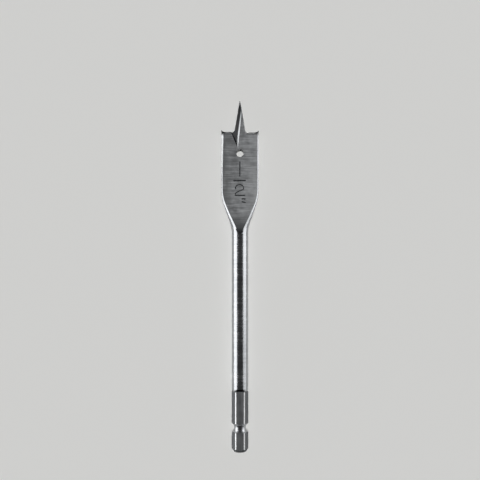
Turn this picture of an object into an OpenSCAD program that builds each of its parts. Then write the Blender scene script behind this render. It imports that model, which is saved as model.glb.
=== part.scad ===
// Spade drill bit for wood: one steel bar with a quick-change hex end, a round shank, a forged
// neck and a flat ground blade with spurs, lips and a centre point.
// The bit is drawn upright, with the drive end at the origin, the tip towards +Z and the front
// face towards -Y. It is then laid down with its tip along +Y and its front face up.

/* [Hex end] */
// Width across the flats of the hex
hex_af = 6.35; // [5.5:0.05:8]
// How much is rounded off each corner of the hex
corner_round = 0.12; // [0.04:0.02:0.2]
// Length of the hex, from the drive end to the round shank
hex_len = 26; // [20:0.5:40]
// Diameter of the flat on the drive end
end_face_d = 4.8; // [3:0.1:5.5]
// Length of the turned chamfer on the drive end
end_chamfer = 1.5; // [0.5:0.1:3]
// Distance of the middle of the retaining groove from the drive end
groove_pos = 10.3; // [8:0.1:14]
// Diameter at the bottom of the retaining groove
groove_d = 5; // [4:0.1:5.5]
// Radius of the round section of the retaining groove
groove_r = 2.4; // [1.5:0.1:3]

/* [Shank] */
// Diameter of the round shank
shank_d = 7; // [6:0.1:8]
// Length of the round shank, from the hex to the start of the flare
shank_len = 69.5; // [40:0.5:300]
// Depth of the bevels where the hex meets the round shank
shoulder = 0.4; // [0.2:0.05:0.6]
// Length of the bevel on the end of the round shank
shoulder_len = 0.6; // [0.2:0.05:1]

/* [Neck] */
// Step down from the round shank to the forged neck
neck_step = 0.03; // [0.02:0.01:0.1]
// Length of the flare from the shank's width to the blade's width
neck_len = 13.5; // [10:0.5:25]
// How far the ramp of the flat runs down into the round shank
flat_runout = 2.2; // [1:0.1:5]
// Half length of the curve where the flare leaves the shank
flare_start_curve = 2; // [0.5:0.1:4]
// Half length of the curve where the flare meets the blade
flare_end_curve = 3; // [0.5:0.1:4]

/* [Blade] */
// Cutting diameter, from spur tip to spur tip
cut_d = 15.9; // [14:0.1:30]
// Thickness of the blade
blade_t = 2.4; // [1.8:0.1:3]
// Length of the blade, from the end of the flare to the lips
blade_len = 27.8; // [18:0.2:40]
// Chamfer on the long edges of the blade
edge_chamfer = 0.5; // [0.2:0.05:0.7]
// Diameter of the hole through the blade
hole_d = 3.2; // [2:0.1:5]
// Distance of the hole's centre below the lips
hole_drop = 9.1; // [7:0.1:12]

/* [Lips and spurs] */
// Slope of the lips from the leading face to the trailing face, in degrees
lip_relief = 25; // [8:1:32]
// Height of a spur above the lip, on the leading face
spur_h = 1.2; // [0.5:0.1:1.5]
// Width of the hollow that rises from the lip to the spur
spur_w = 1.6; // [1.5:0.1:2.2]
// Width of the side clearance on the leading face at the lip
clearance_w = 0.85; // [0.75:0.05:1.2]
// Distance below the lips where the side clearance runs out
clearance_len = 15; // [8:0.5:18]

/* [Point] */
// Length of the centre point above the lips
point_len = 13.2; // [8:0.2:18]
// Angle between the two edges of the point, in degrees
point_angle = 20; // [14:1:26]
// Slope of the point's edges towards the trailing face, in degrees
point_relief = 6; // [2:1:12]
// Radius between a lip and the point
root_fillet = 1.5; // [0.5:0.1:2]
// Depth of the pocket ground beside the point on each leading face, at its lowest corner
pocket_depth = 0.65; // [0.3:0.05:0.8]
// Slope of the pocket's floor up to the tip, in degrees
pocket_floor_slope = 1; // [0:0.1:1.5]
// Slope of the pocket's inner wall away from square to the face, in degrees
pocket_inner_draft = 50; // [30:1:55]
// Slope of the pocket's outer wall away from square to the face, in degrees
pocket_outer_draft = 45; // [30:1:55]
// Distance of the pocket's lowest corner below the lips
pocket_drop = 6.9; // [4:0.1:7]
// Distance of the pocket's lowest corner from the axis
pocket_offset = 0.95; // [0.8:0.05:1.8]
// Lean of the pocket's inner wall towards the axis, in degrees from the axis
pocket_inner_lean = 6.4; // [3:0.1:8]
// Lean of the pocket's outer wall towards the lip, in degrees from the axis
pocket_outer_lean = 24; // [14:0.5:28]

/* [Hidden] */
$fn = 64;

// Spare length of a cutting tool past the metal that it cuts, and of a piece into the next one
over = 1;
shank_r = shank_d / 2;
neck_r = shank_r - neck_step;
hex_corner_r = hex_af / 2 / cos(30);
blade_r = cut_d / 2;
half_t = blade_t / 2;

// Heights along the axis, from the drive end
flare_low = hex_len + shank_len;
flare_high = flare_low + neck_len;
neck_low = flare_low - max(flat_runout, flare_start_curve);
neck_high = flare_high + flare_end_curve;
lip_z = flare_high + blade_len;
tip_z = lip_z + point_len;
hole_z = lip_z - hole_drop;

// Neck sections: rings along the axis, and steps round each quarter of a ring
neck_rings = 18;
quarter_steps = 8;
// Smallest half angle of the flat, where its ramp runs out on the round of the neck
flat_min_angle = 2;
// Size of the neck's root inside the shank, as a share of the neck
root_scale = 0.9;

function lerp(a, b, s) = a + (b - a) * s;
function ease(s) = s * s * (3 - 2 * s);
// A ramp that starts to rise at u = 0, with a curve of half length c there
function soft_ramp(u, c) = u <= -c ? 0 : u >= c ? u : (u + c) * (u + c) / (4 * c);

// Half width of the outline at height z
flare_slope = (blade_r - neck_r) / neck_len;
function outline_w(z) = neck_r + flare_slope
    * (soft_ramp(z - flare_low, flare_start_curve) - soft_ramp(z - flare_high, flare_end_curve));

// Half thickness at height z, along the ramp from the round of the neck to the blade's face
ramp_slope = (neck_r - half_t) / (neck_len + flat_runout);
function ramp_h(z) = min(neck_r, half_t + ramp_slope * soft_ramp(flare_high - z, flare_end_curve));

// Half angle of the flat as a chord of the round neck, which stops growing at the flare
function flat_angle(z) = max(flat_min_angle, acos(ramp_h(min(z, flare_low)) / neck_r));
function chord_band(z) = outline_w(z) * (1 - sin(flat_angle(z)));

// Width of the rounded band between the flat's edge and the outline
function neck_s(z) = (z - flare_low) / (neck_high - flare_low);
function band_w(z) = z <= flare_low ? chord_band(z)
    : lerp(edge_chamfer, chord_band(flare_low), pow(1 - neck_s(z), 2));

// One quarter of a section, from the flat's edge round to the side: a round arc low on the
// neck, which turns into the chamfered edge of the blade
function arc_point(z, s) = let(start = flat_angle(z), a = lerp(start, 90, s))
    [outline_w(z) - band_w(z) * (1 - sin(a)) / (1 - sin(start)), ramp_h(z) * cos(a) / cos(start)];
function chamfer_point(z, s) = let(corner = ramp_h(z) - edge_chamfer)
    s < 0.5 ? [outline_w(z) - band_w(z) * (1 - 2 * s), lerp(ramp_h(z), corner, 2 * s)]
    : [outline_w(z), corner * (2 - 2 * s)];
function quarter(z) = [for (i = [0:quarter_steps]) let(s = i / quarter_steps)
    lerp(arc_point(z, s), chamfer_point(z, s), ease(max(0, neck_s(z))))];

// A whole section, as points at height z
function section(z) = let(q = quarter(z), n = quarter_steps) concat(
    [for (i = [0:n]) [q[i].x, -q[i].y, z]],
    [for (i = [n - 1:-1:0]) [q[i].x, q[i].y, z]],
    [for (i = [0:n]) [-q[i].x, q[i].y, z]],
    [for (i = [n - 1:-1:0]) [-q[i].x, -q[i].y, z]]);

// A solid through rings of points round the axis, each with as many points as the next
module loft(rings) {
    n = len(rings[0]);
    last = len(rings) - 1;
    top = last * n;
    centres = [for (ring = [rings[0], rings[last]]) [0, 0, ring[0].z]];
    low_centre = top + n;
    sides = [for (k = [0:last - 1], j = [0:n - 1]) let(a = k * n, m = (j + 1) % n)
        each [[a + j, a + n + j, a + n + m], [a + j, a + n + m, a + m]]];
    ends = [for (j = [0:n - 1]) let(m = (j + 1) % n)
        each [[j, m, low_centre], [top + m, top + j, low_centre + 1]]];
    polyhedron(concat([for (ring = rings) each ring], centres), concat(sides, ends));
}

// Everything on the side of a plane that its normal points to, as far as the head reaches
module half_space(at, normal) {
    size = cut_d + point_len + pocket_drop;
    turn = [0, acos(normal.z / norm(normal)), atan2(normal.y, normal.x)];
    translate(at) rotate(turn) translate([-size, -size, 0]) cube([2 * size, 2 * size, size]);
}

// The same shape on both halves of the bit, turned half round the axis
module both_halves() {
    for (turn = [0, 180]) rotate([0, 0, turn]) children();
}

// Hex with rounded corners, a turned end, a bevelled shoulder and a round retaining groove
module hex_end() {
    bevel_r = hex_corner_r - shoulder;
    difference() {
        intersection() {
            cylinder(h = hex_len, r = hex_corner_r, $fn = 6);
            cylinder(h = hex_len, r = hex_corner_r - corner_round);
            rotate_extrude() polygon([[0, 0], [end_face_d / 2, 0], [hex_corner_r, end_chamfer],
                [hex_corner_r, hex_len - shoulder], [bevel_r, hex_len], [0, hex_len]]);
        }
        translate([0, 0, groove_pos]) rotate_extrude()
            translate([groove_d / 2 + groove_r, 0]) circle(r = groove_r);
    }
}

// Round shank, bevelled where it meets the hex
module round_shank() {
    rotate_extrude() polygon([[0, hex_len], [shank_r - shoulder, hex_len],
        [shank_r, hex_len + shoulder_len], [shank_r, neck_low], [0, neck_low]]);
}

// Forged neck: the round bar is pressed flat and spreads to the width of the blade. Its first ring
// is a smaller one inside the shank, so that the two grow together
module neck() {
    root = [for (p = section(neck_low)) [root_scale * p.x, root_scale * p.y, neck_low - over]];
    rings = [for (k = [0:neck_rings]) section(lerp(neck_low, neck_high, k / neck_rings))];
    loft(concat([root], rings));
}

// Flat blade with chamfered edges, before its head is ground
module blade_blank() {
    x = blade_r;
    y = half_t;
    c = edge_chamfer;
    translate([0, 0, neck_high]) linear_extrude(tip_z + over - neck_high)
        polygon([[x - c, -y], [x, c - y], [x, y - c], [x - c, y],
            [c - x, y], [-x, y - c], [-x, c - y], [c - x, -y]]);
}

// Points of the left half of the head on its leading face, from the lip's height
point_slope = tan(point_angle / 2);
// The two edges lean over the blade's thickness, and meet in the tip when they start this far out
tip_half_w = half_t * (tan(point_relief) + point_slope * tan(lip_relief) / cos(point_relief));
function point_edge(z) = -tip_half_w - point_slope * (point_len - z);
spur_r = (spur_w * spur_w + spur_h * spur_h) / (2 * spur_h);
spur_angle = atan2(spur_w, spur_r - spur_h);
root_x = point_edge(root_fillet) - root_fillet / cos(point_angle / 2);
curve_steps = 8;
spur_curve = [for (i = [0:curve_steps]) let(a = spur_angle * (1 - i / curve_steps))
    [spur_w - blade_r - spur_r * sin(a), spur_r * (1 - cos(a))]];
root_curve = [for (i = [0:curve_steps]) let(a = (90 - point_angle / 2) * i / curve_steps)
    [root_x + root_fillet * sin(a), root_fillet * (1 - cos(a))]];

// Where a line of the leaning cut that crosses the leading face at p meets the cut's own plane
function cut_point(p) = [p.x * cos(point_relief),
    (p.y + p.x * sin(point_relief) * tan(lip_relief)) * cos(lip_relief)];

// What is ground away above a lip and beside the point, leaning back from the leading face
module lip_cut() {
    outside = -blade_r - over;
    top = point_len + over + blade_t;
    outline = concat([[outside, top], [outside, spur_h]], spur_curve, root_curve,
        [[point_edge(top), top]]);
    translate([0, -half_t, lip_z]) rotate([90 - lip_relief, 0, -point_relief])
        linear_extrude(2 * (top + blade_t), center = true)
            polygon([for (p = outline) cut_point(p)]);
}

// Side clearance below a spur, which runs out into the chamfer of the blade
module side_clearance() {
    lean = atan((clearance_w - edge_chamfer) / clearance_len);
    half_space([clearance_w - blade_r, -half_t, lip_z], [-cos(lean), -1, sin(lean)]);
}

// Pocket ground in the leading face beside the point, with a rising floor and leaning walls
module point_pocket() {
    corner = [-pocket_offset, -half_t, lip_z - pocket_drop];
    inner = [-cos(pocket_inner_lean), -tan(pocket_inner_draft), sin(pocket_inner_lean)];
    outer = [cos(pocket_outer_lean), -tan(pocket_outer_draft), sin(pocket_outer_lean)];
    floor = [0, -cos(pocket_floor_slope), -sin(pocket_floor_slope)];
    intersection() {
        half_space(corner + [0, pocket_depth, 0], floor);
        half_space(corner, inner);
        half_space(corner, outer);
    }
}

// Ground blade: lips, spurs, centre point, pockets and the hole
module blade() {
    difference() {
        blade_blank();
        both_halves() {
            lip_cut();
            side_clearance();
            point_pocket();
        }
        translate([0, 0, hole_z]) rotate([90, 0, 0])
            cylinder(h = blade_t + 2 * over, d = hole_d, center = true);
    }
}

module spade_bit() {
    color("#8c8f91") rotate([-90, 0, 0]) {
        hex_end();
        round_shank();
        neck();
        blade();
    }
}

spade_bit();
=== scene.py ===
# %% [markdown]
# # A spade drill bit
# A spade bit bores wide holes in wood. It is one steel bar: a hexagon that a quick-change holder
# grips, a round shank, a neck where the hot bar was pressed flat, and a thin blade whose head is
# ground into two lips, two spurs and a long centre point.
# The solid model comes in as a fixed frame. Everything below adds what a camera sees: the
# struck size mark, softened edges, eight kinds of steel surface, and a small studio.

# %% Load the solid model
import math

import bmesh
import bpy
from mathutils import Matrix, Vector


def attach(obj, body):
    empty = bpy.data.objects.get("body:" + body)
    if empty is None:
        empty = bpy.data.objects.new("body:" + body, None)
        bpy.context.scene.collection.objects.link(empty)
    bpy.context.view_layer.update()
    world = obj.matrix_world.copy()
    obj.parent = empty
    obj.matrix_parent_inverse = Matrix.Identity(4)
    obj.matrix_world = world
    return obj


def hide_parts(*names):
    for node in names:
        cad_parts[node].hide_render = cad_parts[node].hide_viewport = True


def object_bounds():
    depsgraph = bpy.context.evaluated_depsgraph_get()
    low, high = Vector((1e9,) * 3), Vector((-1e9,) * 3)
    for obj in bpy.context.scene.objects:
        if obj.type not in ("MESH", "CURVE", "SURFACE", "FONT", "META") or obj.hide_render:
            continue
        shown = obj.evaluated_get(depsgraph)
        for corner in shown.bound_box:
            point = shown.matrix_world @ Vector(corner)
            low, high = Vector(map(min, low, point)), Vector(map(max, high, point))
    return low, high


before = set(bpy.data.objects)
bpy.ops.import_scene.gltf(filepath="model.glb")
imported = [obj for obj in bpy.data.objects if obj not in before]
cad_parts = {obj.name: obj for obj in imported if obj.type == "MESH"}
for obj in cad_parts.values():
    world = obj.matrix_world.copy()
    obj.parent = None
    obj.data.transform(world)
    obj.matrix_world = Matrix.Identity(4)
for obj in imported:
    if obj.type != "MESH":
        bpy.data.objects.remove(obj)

MM = 0.001
cad_box = [list(corner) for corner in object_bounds()]
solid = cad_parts["spade_bit"]
print("solid model:", len(solid.data.polygons), "faces, length in mm:", round(cad_box[1][1] / MM, 2))

# %% [markdown]
# ## The camera
# The bit lies on the floor with the front of its blade up, so the view that shows the whole face
# is from straight above. A long lens could be faked with an orthographic camera, but then the
# far rim of the hole would hide exactly behind the near one. A real lens at arm's length shows a
# sliver of the hole's wall, so the camera keeps a little perspective.

# %% Set the camera
LENS_HEIGHT = 400 * MM
VIEW_WIDTH = 205.7 * MM
VIEW_CENTRE_Y = 90.6 * MM
NEAREST_SEEN = 10 * MM
SENSOR_WIDTH = 36

camera_data = bpy.data.cameras.new("overhead_camera")
camera_data.sensor_width = SENSOR_WIDTH
camera_data.lens = SENSOR_WIDTH * LENS_HEIGHT / VIEW_WIDTH
camera_data.clip_start = NEAREST_SEEN
camera = bpy.data.objects.new("overhead_camera", camera_data)
camera.location = (0, VIEW_CENTRE_Y, LENS_HEIGHT)
bpy.context.scene.collection.objects.link(camera)
bpy.context.scene.camera = camera
print("camera: lens in mm:", round(camera_data.lens, 1))

# %% [markdown]
# ## The bar
# The steel itself could be modelled again with loops of vertices, but the solid model already
# holds every face in its right place. A copy of its mesh is the better start: the triangles of
# each flat face melt back into one face, so that edges can be softened later, and the solid
# stays untouched underneath. Where the neck leaves the shank, the solid keeps a step that is
# thinner than a hair. Forged steel flows there without one, so the copy closes it.

# %% Melt the flat faces
WELD = 0.02 * MM
FLAT_ANGLE = math.radians(0.5)


def melted_copy(source):
    """A bmesh of the source's surface, welded, with its coplanar triangles joined."""
    work = bmesh.new()
    work.from_mesh(source.data)
    bmesh.ops.remove_doubles(work, verts=work.verts[:], dist=WELD)
    bmesh.ops.dissolve_degenerate(work, edges=work.edges[:], dist=WELD)
    bmesh.ops.dissolve_limit(work, angle_limit=FLAT_ANGLE, verts=work.verts[:], edges=work.edges[:])
    return work


bar_work = melted_copy(solid)
print("melted bar:", len(bar_work.verts), "vertices,", len(bar_work.faces), "faces")

# %% Close the step at the neck
NECK_LOW = 93.3 * MM
STEP_REACH = 0.1 * MM
STEP_WIDTH = 0.03 * MM


def close_step(work):
    """Joins the two rims of the thin step at the foot of the neck."""
    rims = {corner for corner in work.verts if abs(corner.co.y - NECK_LOW) < STEP_REACH}
    bmesh.ops.triangulate(work, faces=[face for face in work.faces if rims.issuperset(face.verts)])
    across = [edge for edge in work.edges if rims.issuperset(edge.verts)]
    bmesh.ops.dissolve_degenerate(work, edges=across, dist=STEP_WIDTH)


close_step(bar_work)
bar_mesh = bpy.data.meshes.new("bit_steel")
bar_work.to_mesh(bar_mesh)
bar_work.free()
bit = bpy.data.objects.new("bit_steel", bar_mesh)
bpy.context.scene.collection.objects.link(bit)
print("bar:", len(bar_mesh.vertices), "vertices,", len(bar_mesh.polygons), "faces")

# %% [markdown]
# ## The colours
# Colours are easiest to read as the hex codes of a paint program. Blender's shaders count light
# in linear steps instead, so one function turns a code into linear numbers. One more function
# adds a shader node with its settings and links, which keeps each material short.

# %% Colour and node helpers
def linear(code):
    """Linear RGBA from an sRGB hex code such as '#8a8c8e'."""
    channels = [int(code[i:i + 2], 16) / 255 for i in (1, 3, 5)]
    return [c / 12.92 if c <= 0.04045 else ((c + 0.055) / 1.055) ** 2.4 for c in channels] + [1]


def add_node(tree, kind, settings=(), **inputs):
    """Adds a node and fills its inputs, by name or as _0, _1 by number, with values or sockets."""
    made = tree.nodes.new(kind)
    for name, value in dict(settings).items():
        setattr(made, name, value)
    for name, value in inputs.items():
        by_number = name[1:].isdigit()
        socket = made.inputs[int(name[1:]) if by_number else name.replace("_", " ")]
        if isinstance(value, bpy.types.NodeSocket):
            tree.links.new(value, socket)
        else:
            socket.default_value = value
    return made


print("linear mid grey:", [round(c, 3) for c in linear("#808080")[:3]])

# %% [markdown]
# ## The steels
# All of the bit is the same tool steel, but each surface was made in its own way, and that is what
# the eye reads. The round shank was drawn and ground between wheels, so it is the shiniest. The
# hex keeps the duller skin of the drawn bar. The blade's faces were ground across on a belt, which
# leaves fine lines from edge to edge. A picture of brushed metal could be wrapped round the bit,
# but noise that is stretched along the grinding direction has no seams and works at any distance.
# Roughness starts from what such surfaces usually have, about 0.2 for wheel-ground bar and 0.5 for
# belt-ground faces and drawn skin, and is then matched to the object.

# %% One recipe for worked steel
# Noise crowds round one half: nearly all of it lies between these two values
NOISE_LOW = 0.36
NOISE_HIGH = 0.64
LINE_DETAIL = 4
PATCH_DETAIL = 3
# How much of the tone comes from the patches. The lines give the rest
PATCH_SHARE = 0.4
# How far the roughness strays to each side, from the patches and lines
ROUGHNESS_SPREAD = 0.05
# A painted light that brightens the tone towards one side is measured from the middle of the blade
BLADE_MIDDLE = (0, 118 * MM, 0)


def worked_steel(name, dark, light, roughness, lines_mm, line_depth_mm, patch_mm, painted_light_per_mm=()):
    """Steel with scratch lines of a size in mm (x, y, z) and soft patches, with painted light that brightens
    one side.
    """
    material = bpy.data.materials.new(name)
    material.use_nodes = True
    tree = material.node_tree
    shader = tree.nodes["Principled BSDF"]
    shader.inputs["Metallic"].default_value = 1
    place = add_node(tree, "ShaderNodeTexCoord").outputs["Object"]
    along = add_node(tree, "ShaderNodeMapping", Vector=place,
                     Scale=[1 / (size * MM) for size in lines_mm]).outputs[0]
    lines = add_node(tree, "ShaderNodeTexNoise", Vector=along, Scale=1, Detail=LINE_DETAIL).outputs[0]
    patches = add_node(tree, "ShaderNodeTexNoise", Vector=place, Scale=1 / (patch_mm * MM),
                       Detail=PATCH_DETAIL).outputs[0]
    tone = add_node(tree, "ShaderNodeMix", Factor=PATCH_SHARE, A=lines, B=patches).outputs[0]
    # Painted light: the tone grows lighter along the given direction
    if painted_light_per_mm:
        offset = add_node(tree, "ShaderNodeVectorMath", {"operation": "SUBTRACT"},
                          _0=place, _1=BLADE_MIDDLE).outputs[0]
        painted_light = add_node(tree, "ShaderNodeVectorMath", {"operation": "DOT_PRODUCT"},
                        _0=offset, _1=[step / MM for step in painted_light_per_mm]).outputs["Value"]
        tone = add_node(tree, "ShaderNodeMath", {"operation": "ADD"}, _0=tone, _1=painted_light).outputs[0]
    colour = add_node(tree, "ShaderNodeValToRGB", Fac=tone)
    for stop, position, code in zip(colour.color_ramp.elements, (NOISE_LOW, NOISE_HIGH), (dark, light)):
        stop.position = position
        stop.color = linear(code)
    gloss = add_node(tree, "ShaderNodeMapRange", Value=tone, From_Min=NOISE_LOW, From_Max=NOISE_HIGH,
                     To_Min=roughness - ROUGHNESS_SPREAD, To_Max=roughness + ROUGHNESS_SPREAD).outputs[0]
    dents = add_node(tree, "ShaderNodeBump", Height=lines, Strength=1,
                     Distance=line_depth_mm * MM).outputs[0]
    tree.links.new(colour.outputs[0], shader.inputs["Base Color"])
    tree.links.new(gloss, shader.inputs["Roughness"])
    tree.links.new(dents, shader.inputs["Normal"])
    return material


print("recipe ready: noise from", NOISE_LOW, "to", NOISE_HIGH)

# %% The finishes of the bar
# Real wheel, belt and die lines are 0.1 mm apart or less, too fine to show in this view. All of them
# are drawn coarser, 0.4 to 0.8 mm apart

# Belt-ground faces: dull grey with fine lines across, with painted light that makes them a little lighter to
# the right
ground_blade = worked_steel("cross_ground_tool_steel", "#a2a4a6", "#dadcde", roughness=0.6,
                            lines_mm=(7, 0.4, 4), line_depth_mm=0.006, patch_mm=2.5,
                            painted_light_per_mm=(0.0145, -0.0015, 0))
# Ground round bar: bright and smooth, with a faint trace of the wheel round it
drawn_shank = worked_steel("drawn_and_ground_shank_steel", "#a0a2a5", "#b4b6b9", roughness=0.24,
                           lines_mm=(7, 0.8, 7), line_depth_mm=0.0002, patch_mm=5)
# Drawn hex bar: a dull dark skin with lines along it from the die
drawn_hex = worked_steel("drawn_hex_bar_steel", "#828486", "#9c9ea0", roughness=0.6,
                         lines_mm=(0.5, 14, 0.5), line_depth_mm=0.004, patch_mm=4)
# Hex corners: bit holders rub the skin off them, so each one is a bright line
rubbed_corners = worked_steel("rubbed_corner_steel", "#dcdee0", "#eeeff0", roughness=0.25,
                              lines_mm=(0.5, 9, 0.5), line_depth_mm=0.002, patch_mm=3)
print("finishes of the bar:", [m.name for m in (ground_blade, drawn_shank, drawn_hex, rubbed_corners)])

# %% The finishes of the head and the mark
# Pockets and clearances: ground last with a finer wheel, so they are brighter than the faces
ground_edges = worked_steel("fine_ground_edge_steel", "#b0b2b4", "#d2d4d6", roughness=0.44,
                            lines_mm=(0.6, 5, 5), line_depth_mm=0.004, patch_mm=3)
# Lips, root curves and point flanks: a coarse wheel leaves them dull and darker
ground_lips = worked_steel("coarse_ground_lip_steel", "#8c8e90", "#b0b2b4", roughness=0.55,
                           lines_mm=(0.6, 0.6, 3), line_depth_mm=0.006, patch_mm=3)
# Outer pocket walls and the wall of the hole: painted near-black for the shade that falls on them
painted_shade_wall = worked_steel("painted_shade_wall_steel", "#222324", "#38393b", roughness=0.5,
                           lines_mm=(0.6, 3, 3), line_depth_mm=0.004, patch_mm=2)
# Struck figures and turned cones of the hex: scale and oil stay in them, and they are painted darker still
# for the shade in the grooves and on the steps
stamp_floor = worked_steel("struck_oiled_and_shaded_steel", "#56585a", "#727476", roughness=0.6,
                           lines_mm=(0.6, 0.6, 0.6), line_depth_mm=0.01, patch_mm=1)
print("finishes of the head:", [m.name for m in (ground_edges, ground_lips, painted_shade_wall, stamp_floor)])

# %% [markdown]
# ## Burnt and shaded places
# Thin steel gets hot under a grinding wheel and turns dark at the tip. The foot of the blade is dark
# too, from the scale that the forge left, and its very end is painted shade that carries on the
# shank's dark reflection. The two rims of each lip, the spurs, the floors of the pockets and the sides
# of the hex are painted shade, and the middle of the shoulder above the hex is a painted dark
# reflection. Each such place could be a face of its own with its own steel, but the dark fades in
# without any border. So the base colour fades to a darker one by place, from one distance off the
# origin to another.

# %% Darken a steel by place
def darken_by_place(steel, code, *bands_mm):
    """Fades a steel to a colour inside all of the bands: an axis, where it starts, where it is full."""
    tree = steel.node_tree
    base = tree.nodes["Principled BSDF"].inputs["Base Color"]
    place = add_node(tree, "ShaderNodeTexCoord").outputs["Object"]
    axes = add_node(tree, "ShaderNodeSeparateXYZ", Vector=place).outputs
    amount = 1
    for axis, start, full in bands_mm:
        distance = add_node(tree, "ShaderNodeMath", {"operation": "ABSOLUTE"}, _0=axes[axis]).outputs[0]
        inside = add_node(tree, "ShaderNodeMapRange", Value=distance, From_Min=start * MM,
                          From_Max=full * MM).outputs[0]
        amount = add_node(tree, "ShaderNodeMath", {"operation": "MULTIPLY"}, _0=amount, _1=inside).outputs[0]
    # A colour mix has its two colours in inputs 6 and 7, and its result in output 2
    faded = add_node(tree, "ShaderNodeMix", {"data_type": "RGBA"}, _0=amount,
                     _6=base.links[0].from_socket, _7=linear(code)).outputs[2]
    tree.links.new(faded, base)


# The black is painted shade. The blue-grey is heat tint and forging scale, and painted shade on the sides of
# the hex
PAINTED_SHADE_BLACK = "#2c2d2e"
HEAT_TINT_AND_SHADE_GREY = "#6a6c6e"
SHADED = "#a4a6a8"
TIP = ("Y", 140, 146)
HEAT_TINTED_AND_SHADED_PLACES = [
    # The thin tip of the point
    (ground_blade, HEAT_TINT_AND_SHADE_GREY, TIP),
    (ground_lips, HEAT_TINT_AND_SHADE_GREY, TIP),
    # The pockets: painted shade towards their floors, and darker towards the tip
    (ground_edges, SHADED, ("Z", 1.15, 0.75), ("X", 5, 4.5)),
    (ground_edges, HEAT_TINT_AND_SHADE_GREY, ("Y", 136.5, 147)),
    # The foot of the blade: forging scale, and painted shade at its very end that carries on the dark middle
    # of the shank's reflection
    (ground_blade, HEAT_TINT_AND_SHADE_GREY, ("Y", 103, 95)),
    (ground_blade, PAINTED_SHADE_BLACK, ("Y", 95.6, 93.2)),
    # The two spurs: painted shade
    (ground_blade, PAINTED_SHADE_BLACK, ("Y", 135.6, 136.6), ("X", 6, 6.8)),
    (ground_edges, PAINTED_SHADE_BLACK, ("Y", 135, 136.2), ("X", 6, 6.6)),
    (ground_lips, PAINTED_SHADE_BLACK, ("Y", 135.4, 136.4), ("X", 6, 6.6)),
    # The front and back rims of the lips: painted shade
    (ground_lips, PAINTED_SHADE_BLACK, ("Z", 0.75, 0.9)),
    # The sides of the hex: painted shade, darker than the top and bottom flats
    (drawn_hex, HEAT_TINT_AND_SHADE_GREY, ("X", 1.9, 2.6)),
    # The shoulder above the hex: a painted dark reflection in its middle
    (drawn_shank, PAINTED_SHADE_BLACK, ("Y", 25.6, 25.9), ("Y", 27, 26.9), ("X", 2.2, 1.4)),
]
for steel, code, *bands in HEAT_TINTED_AND_SHADED_PLACES:
    darken_by_place(steel, code, *bands)
print("burnt places:", len(HEAT_TINTED_AND_SHADED_PLACES))

# %% [markdown]
# ## The size mark
# The maker's press strikes the size into the blade as a fraction: a one, a bar, a two and the two
# short ticks that mean inches. Dark lines could be painted on, but a struck figure is a groove
# with a round bottom and it catches the light. So each stroke is a thin round-ended rod that sinks
# a little way into the face, and a boolean takes it out of the steel.

# %% Draw the strokes
BOWL_STEPS = 14


def bowl_mm(centre, radii, start, stop):
    """Points round a part of an ellipse, from one angle in degrees to another."""
    angles = [math.radians(start + (stop - start) * i / BOWL_STEPS) for i in range(BOWL_STEPS + 1)]
    return [(centre[0] + radii[0] * math.cos(a), centre[1] + radii[1] * math.sin(a)) for a in angles]


# Each stroke: its width, and the points that it goes through
STROKES_MM = {
    "one": (0.62, [(-0.06, 123.9), (-0.06, 118.0)]),
    "bar": (0.62, [(-2.65, 115.9), (2.25, 116.0)]),
    "two": (0.44, bowl_mm((-0.2, 112.85), (1.72, 1.42), 195, -30)
            + [(0.45, 111.8), (-0.6, 111.4), (-1.35, 111.0), (-1.85, 110.55), (-2.0, 110.1)]),
    "foot of the two": (0.55, [(-2.05, 109.7), (2.0, 109.68)]),
    "upper tick": (0.58, [(0.95, 108.15), (2.2, 108.1)]),
    "lower tick": (0.58, [(0.95, 106.9), (2.2, 106.6)]),
}
print("strokes:", list(STROKES_MM))

# %% Drop a stroke on the face
STROKE_DEPTH = 0.2 * MM
STEP = 0.3 * MM
DROP_FROM = 100 * MM


def dropped_path(points_mm, radius):
    """The stroke's points, close together, where a rod of that radius sinks into the steel."""
    flat = [Vector((x * MM, y * MM, 0)) for x, y in points_mm]
    path = []
    for a, b in zip(flat, flat[1:]):
        count = max(1, round((b - a).length / STEP))
        path += [a.lerp(b, i / count) for i in range(count)]
    path.append(flat[-1])
    for point in path:
        _, where, _, _ = bit.ray_cast(Vector((point.x, point.y, DROP_FROM)), Vector((0, 0, -1)))
        point.z = where.z + radius - STROKE_DEPTH
    return path


bpy.context.view_layer.update()
print("strokes sink by", STROKE_DEPTH / MM, "mm")

# %% Make the rods
ROD_SIDES = 16
END_RINGS = 4
# The last ring of a round end stops half a step before the end, so that it stays a ring
END_STEPS = END_RINGS + 0.5


def add_rod(work, path, radius):
    """A closed round-ended rod along the path."""
    first, last = (path[0] - path[1]).normalized(), (path[-1] - path[-2]).normalized()
    stations = []
    for i in range(END_RINGS, 0, -1):
        angle = math.pi / 2 * i / END_STEPS
        stations.append((path[0] + first * radius * math.sin(angle), -first, math.cos(angle)))
    for i, point in enumerate(path):
        before, after = path[max(0, i - 1)], path[min(len(path) - 1, i + 1)]
        stations.append((point, (after - before).normalized(), 1))
    for i in range(1, END_RINGS + 1):
        angle = math.pi / 2 * i / END_STEPS
        stations.append((path[-1] + last * radius * math.sin(angle), last, math.cos(angle)))
    rings = []
    for centre, ahead, size in stations:
        side = ahead.cross(Vector((0, 0, 1))).normalized()
        up = side.cross(ahead)
        rings.append([work.verts.new(centre + radius * size * (
            side * math.cos(2 * math.pi * k / ROD_SIDES) + up * math.sin(2 * math.pi * k / ROD_SIDES)))
            for k in range(ROD_SIDES)])
    for low, high in zip(rings, rings[1:]):
        for k in range(ROD_SIDES):
            m = (k + 1) % ROD_SIDES
            work.faces.new((low[k], low[m], high[m], high[k]))
    work.faces.new(rings[0][::-1])
    work.faces.new(rings[-1])


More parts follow.
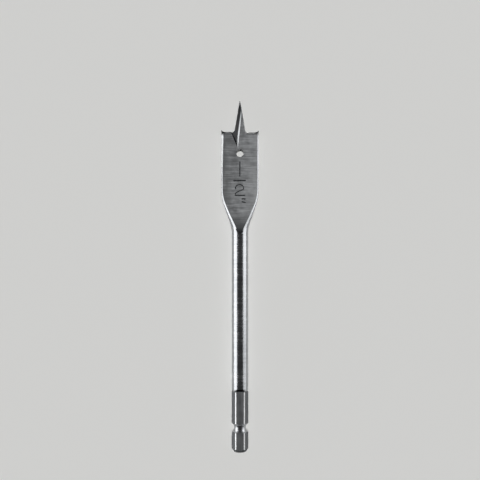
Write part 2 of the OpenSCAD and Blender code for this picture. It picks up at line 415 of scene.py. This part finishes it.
rods_work = bmesh.new()
for width_mm, points_mm in STROKES_MM.values():
    # A rod that is as wide as the stroke where it leaves the face, at the stroke's depth
    radius = ((width_mm * MM) ** 2 / 4 + STROKE_DEPTH ** 2) / (2 * STROKE_DEPTH)
    add_rod(rods_work, dropped_path(points_mm, radius), radius)
bmesh.ops.recalc_face_normals(rods_work, faces=rods_work.faces[:])
rods_mesh = bpy.data.meshes.new("size_mark_rods")
rods_work.to_mesh(rods_mesh)
rods_work.free()
rods_mesh.materials.append(stamp_floor)
rods = bpy.data.objects.new("size_mark_rods", rods_mesh)
bpy.context.scene.collection.objects.link(rods)
print("size mark:", len(STROKES_MM), "strokes,", len(rods_mesh.polygons), "faces")

# %% Strike the mark into the blade
def cut_with(piece, tool):
    """Takes the tool out of the piece for good, and removes the tool."""
    cut = piece.modifiers.new("strike", "BOOLEAN")
    cut.operation, cut.solver, cut.object = "DIFFERENCE", "EXACT", tool
    cut.material_mode, cut.use_self = "TRANSFER", True
    graph = bpy.context.evaluated_depsgraph_get()
    struck = bpy.data.meshes.new_from_object(piece.evaluated_get(graph), depsgraph=graph)
    piece.modifiers.clear()
    old, piece.data = piece.data, struck
    bpy.data.meshes.remove(old)
    bpy.data.objects.remove(tool)


for finish in (ground_blade, drawn_shank, drawn_hex, rubbed_corners, ground_edges, ground_lips, painted_shade_wall):
    bit.data.materials.append(finish)
cut_with(bit, rods)
bit.data.name = "bit_steel"
print("struck blade:", len(bit.data.polygons), "faces, finishes:", [m.name for m in bit.data.materials])

# %% [markdown]
# ## Which steel goes where
# Each face gets its finish from where it is and which way it looks: the hex by its place along
# the bar, the blade's two broad faces by looking up or down, and the lips, spurs and pockets by
# lying in the head. The struck figures keep the dark steel that the rods brought. Painting faces by
# hand would do the same, but a rule survives any change to the solid.

# %% Tell the faces of the hex apart
HEX_TOP = 26 * MM
GROOVE_AT = 10.3 * MM
GROOVE_REACH = 2.5 * MM
# How far a face's middle lies from the axis: less than a flat in the groove, more at a corner
FLAT_AWAY = 3.1 * MM
CORNER_AWAY = 3.4 * MM
# How far along the bar a face's normal leans to count as a cone, or as a square end
CONE_LEAN = 0.3
END_LEAN = 0.95


def hex_finish(face):
    """The steel of a face of the hex: turned groove and cones, rubbed corners and drawn flats."""
    away = math.hypot(face.center.x, face.center.z)
    if abs(face.center.y - GROOVE_AT) < GROOVE_REACH and (away < FLAT_AWAY or abs(face.normal.y) > CONE_LEAN):
        return drawn_shank
    # Turned cones of the hex take the dark struck steel: oil, and painted shade on the steps
    if CONE_LEAN < abs(face.normal.y) < END_LEAN:
        return stamp_floor
    return rubbed_corners if away > CORNER_AWAY else drawn_hex


print("faces of the hex:", sum(face.center.y < HEX_TOP for face in bit.data.polygons))

# %% Give each face its finish
HEAD_LOW = 128.5 * MM
LIP_LOW = 134 * MM
POCKET_REACH = 5 * MM
HOLE_AT = 127.7 * MM
HOLE_REACH = 2 * MM
FACE_Z = 1.2 * MM
TOUCH = 0.05 * MM
# A broad face looks up or down this much, and sideways no more than that
FACE_UP = 0.9
FACE_SIDEWAYS = 0.05
# A wall looks up or down less than this, and an outward wall leans more than that to its own side
WALL_UP = 0.6
OUTWARD_LEAN = 0.3


def finish_of(face):
    """The steel surface that a face of the struck bar shows."""
    if bit.data.materials[face.material_index] == stamp_floor:
        return stamp_floor
    if face.center.y < HEX_TOP:
        return hex_finish(face)
    if face.center.y < NECK_LOW:
        return drawn_shank
    level = abs(face.normal.x) < FACE_SIDEWAYS and abs(face.normal.z) > FACE_UP
    if level and abs(face.center.z) > FACE_Z - TOUCH:
        return ground_blade
    wall = abs(face.normal.z) < WALL_UP
    # The wall of the hole is painted shade
    if wall and abs(face.center.x) < HOLE_REACH and abs(face.center.y - HOLE_AT) < HOLE_REACH:
        return painted_shade_wall
    if wall and face.center.y > LIP_LOW:
        return ground_lips
    if face.center.y < HEAD_LOW:
        return drawn_shank
    # Outer pocket walls are painted shade; the rest of the head is fine-ground
    outward = face.normal.x * face.normal.z > OUTWARD_LEAN
    return painted_shade_wall if outward and abs(face.center.x) < POCKET_REACH else ground_edges


slots = {m.name: i for i, m in enumerate(bit.data.materials)}
counts = dict.fromkeys(slots, 0)
for face in bit.data.polygons:
    name = finish_of(face).name
    face.material_index = slots[name]
    counts[name] += 1
print("faces per finish:", counts)

# %% [markdown]
# ## The edges
# No real edge is perfectly sharp: even a ground one ends in a tiny round that catches a line of
# light. A bevel of a few hundredths of a millimetre gives that. The rims of the struck figures stay
# sharp, as a punch leaves them. The flat faces then have to stay flat to the eye, so the normals are
# weighted by area, and the big faces win over the small ones.

# %% Choose the edges to round
SHARP_ANGLE = math.radians(28)

bit.data.shade_smooth()
edge_work = bmesh.new()
edge_work.from_mesh(bit.data)
weight = edge_work.edges.layers.float.new("bevel_weight_edge")
open_edges = rounded = 0
for edge in edge_work.edges:
    on_step = all(abs(corner.co.y - NECK_LOW) < STEP_REACH for corner in edge.verts)
    struck = [face.material_index == slots[stamp_floor.name] for face in edge.link_faces]
    if not edge.is_manifold:
        open_edges += 1
    elif any(struck) and edge.verts[0].co.y > NECK_LOW:
        edge.smooth = all(struck)
    elif not on_step and edge.calc_face_angle() > SHARP_ANGLE:
        edge[weight] = 1
        rounded += 1
edge_work.to_mesh(bit.data)
edge_work.free()
print("edges to round:", rounded, "and open edges:", open_edges)

# %% Round the edges and weigh the normals
EDGE_ROUND = 0.05 * MM
ROUND_STEPS = 2
SAME_SPOT = 0.0005 * MM
FULL_WEIGHT = 100

bevel = bit.modifiers.new("edge_round", "BEVEL")
bevel.width, bevel.segments = EDGE_ROUND, ROUND_STEPS
bevel.limit_method, bevel.use_clamp_overlap = "WEIGHT", False
# Where two rounds end in one spot, their corners become one
bit.modifiers.new("one_corner_per_spot", "WELD").merge_threshold = SAME_SPOT
weigh = bit.modifiers.new("flat_faces_stay_flat", "WEIGHTED_NORMAL")
weigh.mode, weigh.weight, weigh.keep_sharp = "FACE_AREA", FULL_WEIGHT, True
print("edge round in mm:", EDGE_ROUND / MM)

# %% [markdown]
# ## The floor
# A product photographer lays small steel parts on a sheet of pale matt paper. A curved backdrop
# could be built, but from above only the flat sheet shows. Paper has no gloss, so its specular level
# is nothing and only the shadow of the bit marks it.

# %% Lay the paper
FLOOR_Z = cad_box[0][2]
FLOOR_SIZE = 12
PAPER_ROUGHNESS = 0.9

floor_mesh = bpy.data.meshes.new("studio_floor")
half = FLOOR_SIZE / 2
floor_mesh.from_pydata([(-half, -half, FLOOR_Z), (half, -half, FLOOR_Z), (half, half, FLOOR_Z),
                        (-half, half, FLOOR_Z)], [], [(0, 1, 2, 3)])
floor = bpy.data.objects.new("studio_floor", floor_mesh)
bpy.context.scene.collection.objects.link(floor)

paper = bpy.data.materials.new("pale_studio_paper")
paper.use_nodes = True
sheet = paper.node_tree.nodes["Principled BSDF"]
sheet.inputs["Base Color"].default_value = linear("#ececea")
sheet.inputs["Roughness"].default_value = PAPER_ROUGHNESS
sheet.inputs["Specular IOR Level"].default_value = 0
floor.data.materials.append(paper)
print("floor at", round(FLOOR_Z / MM, 2), "mm")

# %% [markdown]
# ## The lamps
# Metal shows its surroundings more than its own colour. Two tall soft boxes stand to the left and
# the right, and leave the air above the bit dark: the round shank then shows a dark middle between
# two bright bands, and the flat blade stays a quiet grey. The right one is dimmer beside the lower
# half of the bit, so it is two boxes. They are for the metal alone. If they lit the paper too, it
# would be brightest at its sides, so one lamp overhead lights the paper and gives the shadow.

# %% Hang the lamps
def add_lamp(name, lamp, location, rotation):
    """Puts a lamp in the studio, out of the camera's sight."""
    stand = bpy.data.objects.new(name, lamp)
    stand.location, stand.rotation_euler = location, rotation
    stand.visible_camera = False
    bpy.context.scene.collection.objects.link(stand)
    return stand


def add_soft_box(name, x, y_low, y_high, height, radiance):
    """A soft box that stands on the floor and faces the bit, as bright as its radiance says."""
    lamp = bpy.data.lights.new(name, "AREA")
    lamp.shape, lamp.size, lamp.size_y = "RECTANGLE", y_high - y_low, height
    lamp.energy = radiance * math.pi * lamp.size * lamp.size_y
    stand = add_lamp(name, lamp, (x, (y_low + y_high) / 2, FLOOR_Z + height / 2),
                     (math.pi / 2, 0, math.copysign(math.pi / 2, x)))
    stand.visible_diffuse = False


# Sizes are in metres
add_soft_box("left_soft_box", x=-0.42, y_low=-0.3, y_high=0.45, height=0.45, radiance=2.4)
add_soft_box("right_soft_box", x=0.35, y_low=0.03, y_high=0.42, height=0.34, radiance=2.0)
add_soft_box("right_low_soft_box", x=0.35, y_low=-0.2, y_high=0.03, height=0.34, radiance=1.1)

# The lamp overhead lights the paper. Metal would show it as one hot spot, so gloss leaves it out.
# It leans a little, so that the rim of the hole throws a thin crescent of shadow on the paper
OVERHEAD_STRENGTH = 2.1
OVERHEAD_ANGLE = math.radians(4)
OVERHEAD_TILT = math.radians(-4)

overhead = bpy.data.lights.new("overhead_lamp", "SUN")
overhead.energy = OVERHEAD_STRENGTH
overhead.angle = OVERHEAD_ANGLE
add_lamp("overhead_lamp", overhead, (0, 0, 1), (OVERHEAD_TILT, 0, 0)).visible_glossy = False
print("lamps:", [lamp.name for lamp in bpy.data.lights])

# %% [markdown]
# ## The room
# The walls of a studio glow a little and its ceiling is dark. A picture of a room could give that,
# but two values are enough: a soft glow at the level of the floor that fades to nearly nothing
# overhead. It keeps the sides of the bit readable from every angle.

# %% Set the room's glow
WALL_GLOW = 0.6
CEILING_GLOW = 0.052
# Where the ceiling starts, as the upward part of a direction of length one
CEILING_FROM = 0.35

world = bpy.data.worlds.new("dim_studio")
world.use_nodes = True
bpy.context.scene.world = world
tree = world.node_tree
direction = add_node(tree, "ShaderNodeTexCoord").outputs["Generated"]
upward = add_node(tree, "ShaderNodeSeparateXYZ", Vector=direction).outputs["Z"]
glow = add_node(tree, "ShaderNodeMapRange", Value=upward, From_Min=0, From_Max=CEILING_FROM,
                To_Min=WALL_GLOW, To_Max=CEILING_GLOW).outputs[0]
tree.nodes["Background"].inputs["Color"].default_value = (1, 1, 1, 1)
tree.links.new(glow, tree.nodes["Background"].inputs["Strength"])
bpy.context.scene.view_settings.view_transform = "Standard"
print("room: glow from", WALL_GLOW, "to", CEILING_GLOW)

# %% [markdown]
# ## Hand over
# The finished piece rides on the part's only body and stands for its only solid.

# %% Tie the piece to the solid model and finish
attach(bit, "root")
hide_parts("spade_bit")
